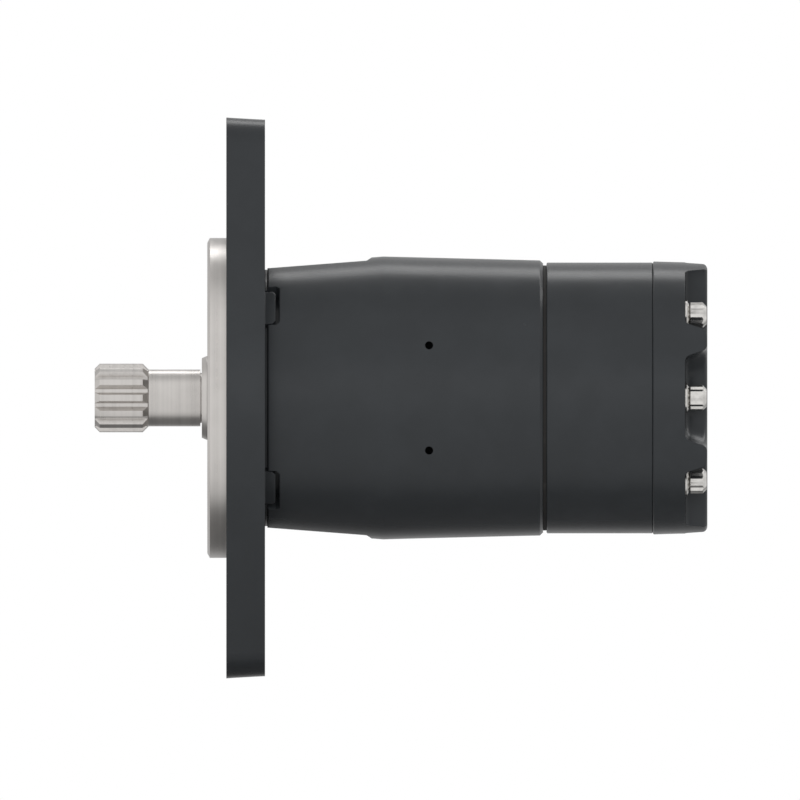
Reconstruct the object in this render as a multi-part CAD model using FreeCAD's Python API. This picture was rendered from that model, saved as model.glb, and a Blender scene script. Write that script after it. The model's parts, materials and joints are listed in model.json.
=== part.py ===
import FreeCAD, Part
import math
import os

# Orbital hydraulic motor with a two-bolt flange, a splined shaft and a roller gear set.
# Millimetres. X runs along the shaft, Z along the flange's bolt line, +Y towards the ports.
# The origin is the centre of the flange's mounting face, on the shaft axis; the shaft points to -X.

# Fits
running_clearance = 0.05
rolling_clearance = 0.03
static_clearance = 0.05
thread_clearance = 0.05
shaft_gap = 0.4

# Mounting flange
flange_thickness = 12.3
flange_bolt_spacing = 146.05
flange_bolt_hole_radius = 7.15
flange_ear_radius = 16.07
flange_centre_radius = 54.0
flange_draft = 3.3
lug_length = 3.3
lug_angle = 43.5
lug_half_angle = 9.5
lug_height = 4.6
lug_chamfer = 1.1
lug_end_gap = 1.3
lug_tight_gap = 0.6
lug_open_gap = 3.8

# Front cover with the pilot
pilot_radius = 50.8
pilot_height = 6.03
pilot_chamfer_length = 0.8
pilot_chamfer_height = 1.5
pilot_seat_depth = 1.5
pilot_seat_step = 1.2
cover_web = 2.6
spigot_wall = 11.0
dust_seal_width = 3.4
dust_seal_height = 3.5
dust_lip_width = 0.7
shaft_seal_width = 6.0
seal_lip_setback = 1.5
seal_lip_thickness = 1.5
backup_washer_thickness = 1.0
cover_ring_setback = 1.4
cover_ring_width = 2.4
cover_ring_depth = 1.6

# Cover screws
cover_screw_count = 6
cover_screw_start = 30.0
cover_screw_radius = 3.0
cover_screw_length = 32.0
cover_screw_wall = 2.1
screw_head_radius = 5.8
screw_socket_flats = 4.0
screw_socket_depth = 2.0
screw_hole_clearance = 0.3
tapping_depth = 3.0
point_share = 1 / 3

# Output shaft
shaft_reach = 41.8
spline_teeth = 13
spline_length = 17.15
spline_tip_radius = 10.9
spline_root_radius = 9.3
spline_tip_half_angle = 5.3
spline_root_half_angle = 10.4
spline_front_chamfer = 1.6
neck_radius = 9.02
undercut_width = 0.45
undercut_radius = 7.95
journal_radius = 13.3
journal_stand_proud = 1.75
journal_lead_length = 1.5
journal_lead_depth = 0.65
centre_mouth_radius = 3.4
centre_hole_radius = 1.5
centre_hole_depth = 7.0
centre_angle = 60.0
collar_radius = 25.0
collar_thickness = 4.5
spool_radius = 18.95
spool_setback = 3.6
spool_bore_wall = 6.0
slot_count = 12
slot_width = 3.2
slot_depth = 2.0
slot_overlap = 1.8

# Radial needle bearing
needle_radius = 1.7
needle_length = 7.0
needle_count = 14
bearing_ring_wall = 1.5
bearing_width = 9.6
bearing_setback = 0.3
cage_wall = 1.2
cage_pocket_clearance = 0.12

# Thrust bearing and thrust ring
thrust_washer_thickness = 1.2
thrust_needle_radius = 1.25
thrust_needle_length = 7.0
thrust_needle_count = 18
thrust_cage_thickness = 1.9
thrust_cage_inset = 1.0
thrust_ring_thickness = 1.45

# Main housing
housing_length = 88.3
housing_land_radius = 40.75
housing_front_radius = 42.1
front_groove_width = 0.75
front_edge_chamfer = 0.4
taper_length = 37.6
housing_wide_radius = 44.93
housing_rear_radius = 43.7
rear_chamfer_length = 1.0
housing_rim_radius = 42.75
flat_front_height = 41.14
flat_rear_height = 43.62
flat_length = 32.3
flat_ramp_angle = 33.5
flat_blend = 1.5

# Ports, oil ways and drain
port_distance = 44.7
port_offset = 20.0
port_thread_radius = 10.35
port_depth = 17.0
port_pad_height = 46.5
port_pad_length = 40.0
port_pad_margin = 1.5
port_pad_corner = 8.0
spot_face_radius = 16.5
spot_face_depth = 0.6
port_way_radius = 3.0
port_way_inset = 1.5
oil_groove_spacing = 14.0
oil_groove_width = 7.0
oil_groove_depth = 3.3
feed_circle_radius = 26.3
feed_radius = 2.4
feed_cross_radius = 1.6
drain_boss_radius = 10.5
drain_boss_height = 44.8
drain_thread_radius = 5.2
drain_thread_depth = 11.0
drain_way_radius = 2.0
drain_way_margin = 0.9
drain_plug_head_radius = 8.4
drain_plug_head_height = 4.0
drain_plug_length = 9.0
drain_plug_socket_flats = 6.0
drain_seal_thickness = 1.2
tag_hole_distance = 52.1
tag_hole_spacing = 33.4
tag_hole_radius = 1.25
tag_hole_depth = 6.0

# Roller gear set
wear_plate_thickness = 1.1
wear_plate_radius = 42.1
stator_thickness = 33.8
stator_radius = 43.0
seam_chamfer = 0.3
roller_count = 7
roller_radius = 5.8
roller_circle_radius = 28.5
eccentricity = 2.3
rotor_tip_gap = 0.45
points_per_lobe = 17

# Drive link and its inner splines
drive_teeth = 12
drive_pitch_radius = 9.4
drive_tip_height = 0.85
drive_root_depth = 1.25
drive_inner_tip = 0.75
drive_flank_angle = 30.0
drive_flank_clearance = 0.3
crown_radius = 60.0
link_body_radius = 7.0
front_spline_length = 14.0
rear_spline_length = 18.0
front_pivot_distance = 60.0
shaft_spline_margin = 1.5
shaft_spline_relief = 3.0
link_end_gap = 0.6
spacer_radius = 8.3

# End cover and its bolts
end_cover_thickness = 17.3
end_cover_radius = 43.35
end_cover_rear_radius = 42.9
end_cover_edge_radius = 1.5
bolt_count = 7
bolt_circle_radius = 33.6
bolt_radius = 3.175
bolt_hole_clearance = 0.33
bolt_engagement = 13.0
bolt_flange_radius = 4.85
bolt_flange_rim = 0.6
bolt_flange_thickness = 1.7
bolt_neck_radius = 3.2
bolt_head_height = 5.2
bolt_point_radius = 4.15
bolt_head_chamfer = 1.4
scallop_circle_radius = 39.8
scallop_floor_radius = 13.2
scallop_face_radius = 15.5
scallop_depth = 7.1
scallop_floor_fillet = 2.2
scallop_edge_radius = 2.2

# Body seals between the stacked discs
seal_groove_inner_radius = 38.9
seal_groove_width = 2.0
seal_groove_depth = 1.4

# Places along the shaft axis
x_pilot_face = -pilot_height
x_journal = x_pilot_face - journal_stand_proud
x_shaft_tip = -shaft_reach
x_spline_end = x_shaft_tip + spline_length
x_dust_seal_end = x_pilot_face + dust_seal_width
x_web_end = x_dust_seal_end + cover_web
x_seal_end = x_web_end + shaft_seal_width
x_bearing = x_seal_end + backup_washer_thickness
x_bearing_end = x_bearing + bearing_width
x_spigot_end = x_bearing_end + bearing_setback
x_front_washer_end = x_spigot_end + thrust_washer_thickness
x_thrust_needles = x_front_washer_end + rolling_clearance + thrust_needle_radius
x_rear_washer = x_thrust_needles + thrust_needle_radius + rolling_clearance
x_collar = x_rear_washer + thrust_washer_thickness
x_collar_end = x_collar + collar_thickness
x_thrust_ring = x_collar_end + rolling_clearance
x_chamber_end = x_thrust_ring + thrust_ring_thickness
x_housing = flange_thickness
x_housing_end = x_housing + housing_length
x_ports = x_housing + port_distance
x_groove_a = x_ports - oil_groove_spacing / 2
x_groove_b = x_ports + oil_groove_spacing / 2
x_drain = x_chamber_end - drain_way_radius - drain_way_margin
x_tag_holes = x_housing + tag_hole_distance
x_spool_end = x_housing_end - spool_setback
x_stator = x_housing_end + wear_plate_thickness
x_end_cover = x_stator + stator_thickness
x_end = x_end_cover + end_cover_thickness
x_scallop_floor = x_end - scallop_depth
x_front_pivot = front_pivot_distance
x_rear_pivot = x_stator + stator_thickness / 2

# Radii and angles that follow from the sizes above
needle_circle_radius = journal_radius + rolling_clearance + needle_radius
raceway_radius = needle_circle_radius + needle_radius + rolling_clearance
cover_bore_radius = raceway_radius + bearing_ring_wall + static_clearance
spigot_radius = cover_bore_radius + spigot_wall
register_radius = spigot_radius + static_clearance
pilot_seat_radius = pilot_radius + pilot_seat_step
dust_recess_radius = journal_radius + dust_seal_height
cover_screw_circle = register_radius + cover_screw_wall + cover_screw_radius
spool_bore_radius = spool_radius + running_clearance
shaft_hollow_radius = spool_radius - spool_bore_wall
oil_groove_radius = spool_bore_radius + oil_groove_depth
thrust_inner_radius = journal_radius + shaft_gap
rotor_tip_radius = roller_circle_radius + eccentricity - roller_radius
stator_bore_radius = rotor_tip_radius + eccentricity + rotor_tip_gap
pocket_radius = roller_radius + running_clearance
bolt_hole_radius = bolt_radius + bolt_hole_clearance
first_roller = 180.0
link_way_radius = drive_pitch_radius + drive_root_depth + eccentricity
drive_tip_radius = drive_pitch_radius + drive_tip_height
drive_root_radius = drive_pitch_radius - drive_root_depth
drive_minor_radius = drive_pitch_radius - drive_inner_tip
drive_major_radius = drive_pitch_radius + drive_root_depth
link_tilt = math.atan2(eccentricity, x_rear_pivot - x_front_pivot)
link_span = math.hypot(eccentricity, x_rear_pivot - x_front_pivot)
pad_half_width = port_offset + spot_face_radius + port_pad_margin
cutter_overrun = 1.0


# Small helpers

def vector(x, y, z):
    return FreeCAD.Vector(x, y, z)


def on_profile(x, radius):
    """A point of a profile that is turned about the shaft axis."""
    return vector(x, 0, radius)


def around(x, radius, angle):
    """A point at an angle about the shaft axis: 0 faces -Y, 90 is up."""
    turn = math.radians(angle)
    return vector(x, -radius * math.cos(turn), radius * math.sin(turn))


def turned(shape, angle):
    """A copy turned about the shaft axis, the same way as around() counts."""
    copy = shape.copy()
    copy.rotate(vector(0, 0, 0), vector(-1, 0, 0), angle)
    return copy


def ring_of(shape, count, start=0.0):
    """Equally spaced copies about the shaft axis."""
    return [turned(shape, start + 360.0 * index / count) for index in range(count)]


def rounded_wire(corners, place):
    """A closed wire through corners (u, v, rounding); place turns (u, v) into a point."""
    entries = []
    exits = []
    edges = []
    count = len(corners)
    for index in range(count):
        u, v, rounding = corners[index]
        here = place(u, v)
        to_last = place(*corners[index - 1][:2]).sub(here).normalize()
        to_next = place(*corners[(index + 1) % count][:2]).sub(here).normalize()
        if rounding == 0:
            entries.append(here)
            exits.append(here)
            continue
        half = to_last.getAngle(to_next) / 2
        inward = to_last.add(to_next).normalize()
        entry = here.add(to_last * (rounding / math.tan(half)))
        leave = here.add(to_next * (rounding / math.tan(half)))
        middle = here.add(inward * (rounding / math.sin(half) - rounding))
        edges.append(Part.Arc(entry, middle, leave).toShape())
        entries.append(entry)
        exits.append(leave)
    for index in range(count):
        begin = exits[index]
        finish = entries[(index + 1) % count]
        if begin.distanceToPoint(finish) > 1e-7:
            edges.append(Part.LineSegment(begin, finish).toShape())
    return Part.Wire(Part.__sortEdges__(edges))


def turned_solid(corners):
    """A solid of revolution about the shaft axis from corners (x, radius) or (x, radius, rounding)."""
    full = [(corner + (0,))[:3] for corner in corners]
    face = Part.Face(rounded_wire(full, on_profile))
    return face.revolve(vector(0, 0, 0), vector(1, 0, 0), 360)


def rod(radius, x_from, x_to, offset=0.0, angle=0.0):
    """A cylinder parallel to the shaft axis."""
    return Part.makeCylinder(radius, x_to - x_from, around(x_from, offset, angle), vector(1, 0, 0))


def ring(inner_radius, outer_radius, x_from, x_to):
    return rod(outer_radius, x_from, x_to).cut(rod(inner_radius, x_from, x_to))


def side_hole(radius, x, y_from, y_to, z):
    """A cylinder along Y, for what is bored from the port side or the tag side."""
    return Part.makeCylinder(radius, y_to - y_from, vector(x, y_from, z), vector(0, 1, 0))


def prism(wire, length):
    return Part.Face(wire).extrude(vector(length, 0, 0))


def hexagon(flats, place):
    corner_radius = flats / math.sqrt(3)
    corners = [place(corner_radius, 60 * index) for index in range(6)]
    return Part.Wire(Part.makePolygon(corners + corners[:1]))


def toothed_wire(x, count, low_radius, high_radius, low_half_angle, high_half_angle):
    """A closed outline of teeth: straight sides from the low radius to the high one."""
    edges = []
    pitch = 360.0 / count
    for index in range(count):
        middle = index * pitch
        rise = around(x, low_radius, middle - low_half_angle)
        tip_start = around(x, high_radius, middle - high_half_angle)
        tip_end = around(x, high_radius, middle + high_half_angle)
        fall = around(x, low_radius, middle + low_half_angle)
        next_rise = around(x, low_radius, middle + pitch - low_half_angle)
        tip_middle = around(x, high_radius, middle)
        root_middle = around(x, low_radius, middle + pitch / 2)
        edges.append(Part.LineSegment(rise, tip_start).toShape())
        edges.append(Part.Arc(tip_start, tip_middle, tip_end).toShape())
        edges.append(Part.LineSegment(tip_end, fall).toShape())
        edges.append(Part.Arc(fall, root_middle, next_rise).toShape())
    return Part.Wire(edges)


def save(node, shape):
    """Write one node; a list of solids is kept as separate solids."""
    if isinstance(shape, list):
        shape = Part.makeCompound(shape)
    shape.exportStep("parts/" + node + ".step")


# Mounting flange

def flange_wire(x, shrink):
    """Two ear arcs and two centre arcs joined by tangent sides."""
    ear = flange_ear_radius - shrink
    centre = flange_centre_radius - shrink
    reach = flange_bolt_spacing / 2
    slope = math.asin((centre - ear) / reach)
    across = math.cos(slope)
    along = math.sin(slope)
    edges = []
    for side in (1, -1):
        ear_start = vector(x, side * ear * across, side * (reach + ear * along))
        ear_top = vector(x, 0, side * (reach + ear))
        ear_end = vector(x, -side * ear * across, side * (reach + ear * along))
        centre_start = vector(x, -side * centre * across, side * centre * along)
        centre_middle = vector(x, -side * centre, 0)
        centre_end = vector(x, -side * centre * across, -side * centre * along)
        next_ear = vector(x, -side * ear * across, -side * (reach + ear * along))
        edges.append(Part.Arc(ear_start, ear_top, ear_end).toShape())
        edges.append(Part.LineSegment(ear_end, centre_start).toShape())
        edges.append(Part.Arc(centre_start, centre_middle, centre_end).toShape())
        edges.append(Part.LineSegment(centre_end, next_ear).toShape())
    return Part.Wire(edges)


def skin_radius(x):
    """Radius of the housing's front cone at a place along the shaft."""
    slope = (housing_wide_radius - housing_front_radius) / (taper_length - front_groove_width)
    return housing_front_radius + slope * (x - x_housing - front_groove_width)


def ring_sector(inner_radius, x_from, x_to, overlap, from_angle, to_angle, stand_off):
    """A piece of ring under the housing's skin, standing off it by a given height."""
    corners = [
        (x_from - overlap, inner_radius, 0),
        (x_to, inner_radius, 0),
        (x_to, skin_radius(x_to) + stand_off, 0),
        (x_from - overlap, skin_radius(x_from - overlap) + stand_off, 0),
    ]
    face = Part.Face(rounded_wire(corners, on_profile))
    sector = face.revolve(vector(0, 0, 0), vector(-1, 0, 0), to_angle - from_angle)
    return turned(sector, from_angle - 90)


def corner_edges(sector, x):
    """The two radial edges at the end of a ring sector."""
    found = []
    for edge in sector.Edges:
        ends = [vertex.Point for vertex in edge.Vertexes]
        flat = all(abs(end.x - x) < 1e-6 for end in ends)
        if flat and len(ends) == 2 and isinstance(edge.Curve, Part.Line):
            found.append(edge)
    return found


def flange_lugs():
    """Four keys on the flange's rear face, flush with the housing's skin."""
    x_end_of_lug = flange_thickness + lug_length
    inner_radius = skin_radius(x_housing) - lug_height
    lugs = []
    for side in (1, -1):
        for middle in (lug_angle, 180 - lug_angle):
            low = side * middle - lug_half_angle
            high = side * middle + lug_half_angle
            lug = ring_sector(inner_radius, flange_thickness, x_end_of_lug, cutter_overrun, low, high, 0)
            lugs.append(lug.makeChamfer(lug_chamfer, corner_edges(lug, x_end_of_lug)))
    return lugs


def lug_notches():
    """Recesses in the housing's front rim for the lugs, with a wider gap away from the middle plane."""
    x_end_of_notch = x_housing + lug_length + lug_end_gap
    inner_radius = skin_radius(x_housing) - lug_height - static_clearance
    notches = []
    for side in (1, -1):
        for middle in (lug_angle, 180 - lug_angle):
            towards_viewer = 1 if middle < 90 else -1
            open_side = side * towards_viewer
            gap_low = lug_open_gap if open_side < 0 else lug_tight_gap
            gap_high = lug_open_gap if open_side > 0 else lug_tight_gap
            low = side * middle - lug_half_angle - gap_low
            high = side * middle + lug_half_angle + gap_high
            notch = ring_sector(
                inner_radius, x_housing, x_end_of_notch, cutter_overrun, low, high, cutter_overrun)
            notches.append(notch.makeChamfer(lug_chamfer, corner_edges(notch, x_end_of_notch)))
    return notches


def mounting_flange():
    rear_shrink = flange_thickness * math.tan(math.radians(flange_draft))
    plate = Part.makeLoft([flange_wire(0, 0), flange_wire(flange_thickness, rear_shrink)], True, True)
    plate = plate.fuse(flange_lugs())
    holes = [
        rod(register_radius, -cutter_overrun, flange_thickness + cutter_overrun),
        rod(pilot_seat_radius + static_clearance, -cutter_overrun, pilot_seat_depth),
    ]
    for side in (1, -1):
        place = vector(-cutter_overrun, 0, side * flange_bolt_spacing / 2)
        length = flange_thickness + 2 * cutter_overrun
        holes.append(Part.makeCylinder(flange_bolt_hole_radius, length, place, vector(1, 0, 0)))
    screw_way = rod(
        cover_screw_radius + screw_hole_clearance,
        -cutter_overrun,
        flange_thickness + cutter_overrun,
        cover_screw_circle,
    )
    holes += ring_of(screw_way, cover_screw_count, cover_screw_start)
    return plate.cut(holes).removeSplitter()


# Front cover, its seals and its screws

def screw_head_depth():
    return screw_head_radius - cover_screw_radius


def front_cover():
    x_ring = flange_thickness + cover_ring_setback
    corners = [
        (x_pilot_face, dust_recess_radius + static_clearance),
        (x_pilot_face, pilot_radius - pilot_chamfer_height),
        (x_pilot_face + pilot_chamfer_length, pilot_radius),
        (0, pilot_radius),
        (0, pilot_seat_radius),
        (pilot_seat_depth, pilot_seat_radius),
        (pilot_seat_depth, spigot_radius),
        (x_ring, spigot_radius),
        (x_ring, spigot_radius - cover_ring_depth),
        (x_ring + cover_ring_width, spigot_radius - cover_ring_depth),
        (x_ring + cover_ring_width, spigot_radius),
        (x_spigot_end, spigot_radius),
        (x_spigot_end, cover_bore_radius),
        (x_web_end, cover_bore_radius),
        (x_web_end, journal_radius + shaft_gap),
        (x_dust_seal_end, journal_radius + shaft_gap),
        (x_dust_seal_end, dust_recess_radius + static_clearance),
    ]
    way_radius = cover_screw_radius + screw_hole_clearance
    sink = turned_solid([
        (x_pilot_face - cutter_overrun, 0),
        (x_pilot_face - cutter_overrun, screw_head_radius + screw_hole_clearance + cutter_overrun),
        (x_pilot_face + screw_head_depth(), way_radius),
        (pilot_seat_depth + cutter_overrun, way_radius),
        (pilot_seat_depth + cutter_overrun, 0),
    ])
    sink.translate(around(0, cover_screw_circle, 0))
    return turned_solid(corners).cut(ring_of(sink, cover_screw_count, cover_screw_start))


def cover_screws():
    """Countersunk socket screws through the cover and the flange into the housing."""
    x_tip = x_pilot_face + cover_screw_length
    point = cover_screw_radius * point_share
    screw = turned_solid([
        (x_pilot_face, 0),
        (x_pilot_face, screw_head_radius),
        (x_pilot_face + screw_head_depth(), cover_screw_radius),
        (x_tip - point, cover_screw_radius),
        (x_tip, cover_screw_radius - point),
        (x_tip, 0),
    ])
    socket = prism(
        hexagon(screw_socket_flats, lambda radius, angle: around(x_pilot_face, radius, angle)),
        screw_socket_depth,
    )
    screw = screw.cut(socket)
    screw.translate(around(0, cover_screw_circle, 0))
    return ring_of(screw, cover_screw_count, cover_screw_start)


def dust_seal():
    lip = journal_radius + running_clearance
    root = journal_radius + dust_seal_height / 2
    return turned_solid([
        (x_pilot_face, lip),
        (x_pilot_face, dust_recess_radius),
        (x_dust_seal_end, dust_recess_radius),
        (x_dust_seal_end, root),
        (x_pilot_face + dust_seal_width / 2, root),
        (x_pilot_face + dust_lip_width, lip),
    ])


def shaft_seal():
    """A lipped ring: the lip leans inwards to the pressure side."""
    outer = cover_bore_radius - static_clearance
    lip = journal_radius + running_clearance
    heel = journal_radius + shaft_gap
    throat = journal_radius + (outer - journal_radius) / 2
    return turned_solid([
        (x_web_end, heel),
        (x_web_end, outer),
        (x_seal_end, outer),
        (x_seal_end, throat + seal_lip_thickness / 2),
        (x_web_end + shaft_seal_width / 2, throat),
        (x_seal_end - seal_lip_setback / 2, lip + seal_lip_thickness),
        (x_seal_end - seal_lip_setback, lip),
        (x_web_end + shaft_seal_width / 2, heel),
    ])


def seal_backup_washer():
    return ring(journal_radius + shaft_gap, cover_bore_radius - static_clearance, x_seal_end, x_bearing)


def cover_seal_ring():
    x_ring = flange_thickness + cover_ring_setback
    return ring(
        spigot_radius - cover_ring_depth + static_clearance,
        spigot_radius,
        x_ring + static_clearance,
        x_ring + cover_ring_width - static_clearance,
    )


# Radial needle bearing

def bearing_ring():
    return ring(raceway_radius, cover_bore_radius - static_clearance, x_bearing, x_bearing_end)


def bearing_needles():
    x_middle = (x_bearing + x_bearing_end) / 2
    half = needle_length / 2
    needle = rod(needle_radius, x_middle - half, x_middle + half, needle_circle_radius)
    return ring_of(needle, needle_count)


def bearing_cage():
    pocket_ends = (bearing_width - needle_length) / 4
    x_middle = (x_bearing + x_bearing_end) / 2
    half = needle_length / 2 + cage_pocket_clearance
    band = ring(
        needle_circle_radius - cage_wall / 2,
        needle_circle_radius + cage_wall / 2,
        x_middle - half - pocket_ends,
        x_middle + half + pocket_ends,
    )
    pocket_size = needle_radius + cage_pocket_clearance
    pocket = rod(pocket_size, x_middle - half, x_middle + half, needle_circle_radius)
    return band.cut(ring_of(pocket, needle_count))


# Thrust bearing and thrust ring

def thrust_washer_front():
    return ring(thrust_inner_radius, collar_radius, x_spigot_end, x_front_washer_end)


def thrust_washer_rear():
    return ring(thrust_inner_radius, collar_radius, x_rear_washer, x_collar)


def thrust_roller(radius, length):
    """One radial needle of the thrust bearing, or the pocket for it."""
    middle = (thrust_inner_radius + collar_radius) / 2
    return Part.makeCylinder(
        radius,
        length,
        around(x_thrust_needles, middle - length / 2, 0),
        vector(0, -1, 0),
    )


def thrust_needles():
    return ring_of(thrust_roller(thrust_needle_radius, thrust_needle_length), thrust_needle_count)


def thrust_cage():
    half = thrust_cage_thickness / 2
    plate = ring(
        thrust_inner_radius + thrust_cage_inset,
        collar_radius - thrust_cage_inset,
        x_thrust_needles - half,
        x_thrust_needles + half,
    )
    pocket = thrust_roller(
        thrust_needle_radius + cage_pocket_clearance,
        thrust_needle_length + 2 * cage_pocket_clearance,
    )
    return plate.cut(ring_of(pocket, thrust_needle_count))


def thrust_ring():
    return ring(spool_radius + shaft_gap, collar_radius, x_thrust_ring, x_chamber_end)


# Output shaft

def drive_tooth_half_width(radius):
    """Half the width of an inner spline tooth at a radius."""
    at_pitch = math.pi * drive_pitch_radius / drive_teeth / 2
    return at_pitch + (radius - drive_pitch_radius) * math.tan(math.radians(drive_flank_angle))


def inner_spline(x_from, x_to):
    """The hole that the inner spline of the shaft or the rotor leaves open."""
    half_pitch = 180.0 / drive_teeth
    half_angles = []
    for radius in (drive_minor_radius, drive_major_radius):
        half_angles.append(half_pitch - math.degrees(math.asin(drive_tooth_half_width(radius) / radius)))
    wire = toothed_wire(
        x_from, drive_teeth, drive_minor_radius, drive_major_radius, half_angles[0], half_angles[1])
    return prism(wire, x_to - x_from)


def outer_spline():
    """The straight teeth at the shaft's free end, chamfered at both ends."""
    teeth = prism(
        toothed_wire(
            x_shaft_tip,
            spline_teeth,
            spline_root_radius,
            spline_tip_radius,
            spline_root_half_angle,
            spline_tip_half_angle,
        ),
        spline_length,
    )
    rear_chamfer = spline_tip_radius - neck_radius
    blank = turned_solid([
        (x_shaft_tip, 0),
        (x_shaft_tip, spline_tip_radius - spline_front_chamfer),
        (x_shaft_tip + spline_front_chamfer, spline_tip_radius),
        (x_spline_end - rear_chamfer, spline_tip_radius),
        (x_spline_end, neck_radius),
        (x_spline_end, 0),
    ])
    return teeth.common(blank)


def spool_slots():
    """Timing slots, fed in turn from one oil groove and from the other."""
    half_land = (oil_groove_spacing - oil_groove_width) / 2
    floor = spool_radius - slot_depth
    slots = []
    for index in range(slot_count):
        if index % 2 == 0:
            x_from = x_groove_a - oil_groove_width / 2
            x_to = x_groove_a + oil_groove_width / 2 + half_land + slot_overlap
        else:
            x_from = x_groove_b - oil_groove_width / 2 - half_land - slot_overlap
            x_to = x_groove_b + oil_groove_width / 2
        bar = Part.makeBox(
            x_to - x_from,
            slot_depth + cutter_overrun,
            slot_width,
            vector(x_from, -floor - slot_depth - cutter_overrun, -slot_width / 2),
        )
        slots.append(turned(bar, index * 360.0 / slot_count))
    return slots


def centre_hole():
    """The hole that held the shaft between centres while it was turned."""
    cone_length = (centre_mouth_radius - centre_hole_radius) / math.tan(math.radians(centre_angle / 2))
    return turned_solid([
        (x_shaft_tip, 0),
        (x_shaft_tip, centre_mouth_radius),
        (x_shaft_tip + cone_length, centre_hole_radius),
        (x_shaft_tip + centre_hole_depth, centre_hole_radius),
        (x_shaft_tip + centre_hole_depth, 0),
    ])


def output_shaft():
    body = turned_solid([
        (x_spline_end, 0),
        (x_spline_end, neck_radius),
        (x_journal - undercut_width, neck_radius),
        (x_journal - undercut_width, undercut_radius),
        (x_journal, undercut_radius),
        (x_journal, journal_radius - journal_lead_depth),
        (x_journal + journal_lead_length, journal_radius),
        (x_collar, journal_radius),
        (x_collar, collar_radius),
        (x_collar_end, collar_radius),
        (x_collar_end, spool_radius),
        (x_spool_end, spool_radius),
        (x_spool_end, 0),
    ])
    spline_half = front_spline_length / 2 + shaft_spline_margin
    x_teeth = x_front_pivot - spline_half
    x_teeth_end = x_front_pivot + spline_half
    hollows = [
        rod(drive_major_radius, x_teeth - shaft_spline_relief, x_teeth),
        inner_spline(x_teeth, x_teeth_end),
        rod(shaft_hollow_radius, x_teeth_end, x_spool_end),
        centre_hole(),
    ]
    return body.fuse(outer_spline()).cut(hollows + spool_slots()).removeSplitter()


# Main housing

def housing_skin():
    """A cone that widens from a groove behind the flange on, then narrows a little to the rear face."""
    x_edge = x_housing + front_groove_width
    x_cone = x_edge + front_edge_chamfer
    return turned_solid([
        (x_housing, 0),
        (x_housing, housing_land_radius),
        (x_edge, housing_land_radius),
        (x_edge, housing_front_radius - front_edge_chamfer),
        (x_cone, skin_radius(x_cone)),
        (x_housing + taper_length, housing_wide_radius),
        (x_housing_end - rear_chamfer_length, housing_rear_radius),
        (x_housing_end, housing_rim_radius),
        (x_housing_end, 0),
    ])


def housing_flats():
    """What two narrow flats take off the cone's top and bottom; each ends in a short ramp."""
    x_ramp = x_housing + flat_length
    clear_height = housing_wide_radius + cutter_overrun
    ramp_length = (clear_height - flat_rear_height) / math.tan(math.radians(flat_ramp_angle))
    corners = [
        (x_housing, flat_front_height, 0),
        (x_ramp, flat_rear_height, flat_blend),
        (x_ramp + ramp_length, clear_height, 0),
        (x_housing, clear_height, 0),
    ]
    wire = rounded_wire(corners, lambda x, z: vector(x, -housing_front_radius, z))
    flat = Part.Face(wire).extrude(vector(0, 2 * housing_front_radius, 0))
    return [flat, turned(flat, 180)]


def port_pad():
    """The flat-topped boss that carries both ports."""
    half = port_pad_length / 2
    corners = [
        (x_ports - half, -pad_half_width, port_pad_corner),
        (x_ports + half, -pad_half_width, port_pad_corner),
        (x_ports + half, pad_half_width, port_pad_corner),
        (x_ports - half, pad_half_width, port_pad_corner),
    ]
    wire = rounded_wire(corners, lambda x, z: vector(x, 0, z))
    return Part.Face(wire).extrude(vector(0, port_pad_height, 0))


def port_holes():
    """Both threaded ports, their spot faces and the ways down to the oil grooves."""
    holes = []
    y_floor = port_pad_height - spot_face_depth
    y_bottom = y_floor - port_depth
    way_offset = port_offset - port_way_inset
    y_groove = math.sqrt(oil_groove_radius ** 2 - way_offset ** 2) - port_way_radius
    for side, x_groove in ((1, x_groove_a), (-1, x_groove_b)):
        z_port = side * port_offset
        z_way = side * way_offset
        holes.append(side_hole(spot_face_radius, x_ports, y_floor, port_pad_height + cutter_overrun, z_port))
        holes.append(side_hole(port_thread_radius, x_ports, y_bottom, y_floor + cutter_overrun, z_port))
        holes.append(side_hole(port_way_radius, x_groove, y_groove, y_bottom + cutter_overrun, z_way))
    return holes


def drain_holes():
    y_bottom = drain_boss_height - drain_thread_depth
    return [
        side_hole(drain_thread_radius, x_drain, y_bottom, drain_boss_height + cutter_overrun, 0),
        side_hole(drain_way_radius, x_drain, 0, y_bottom + cutter_overrun, 0),
    ]


def feed_holes():
    """Seven oil ways from the spool bore to the rear face, one for each chamber."""
    along = rod(feed_radius, x_ports - feed_radius, x_housing_end + cutter_overrun, feed_circle_radius)
    across = Part.makeCylinder(
        feed_cross_radius,
        feed_circle_radius - spool_bore_radius + cutter_overrun,
        around(x_ports, spool_bore_radius - cutter_overrun, 0),
        vector(0, -1, 0),
    )
    return ring_of(along, bolt_count) + ring_of(across, bolt_count)


def tag_holes():
    """Two small blind holes on the side away from the ports."""
    reach = housing_wide_radius + cutter_overrun
    depth_from = math.sqrt(housing_rear_radius ** 2 - (tag_hole_spacing / 2) ** 2) - tag_hole_depth
    return [
        side_hole(tag_hole_radius, x_tag_holes, -reach, -depth_from, side * tag_hole_spacing / 2)
        for side in (1, -1)
    ]


def seal_groove(x_from, x_to):
    inner = seal_groove_inner_radius
    return ring(inner, inner + seal_groove_width, x_from, x_to)


def bolt_holes(radius, x_from, x_to):
    return ring_of(rod(radius, x_from, x_to, bolt_circle_radius), bolt_count)


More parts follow.
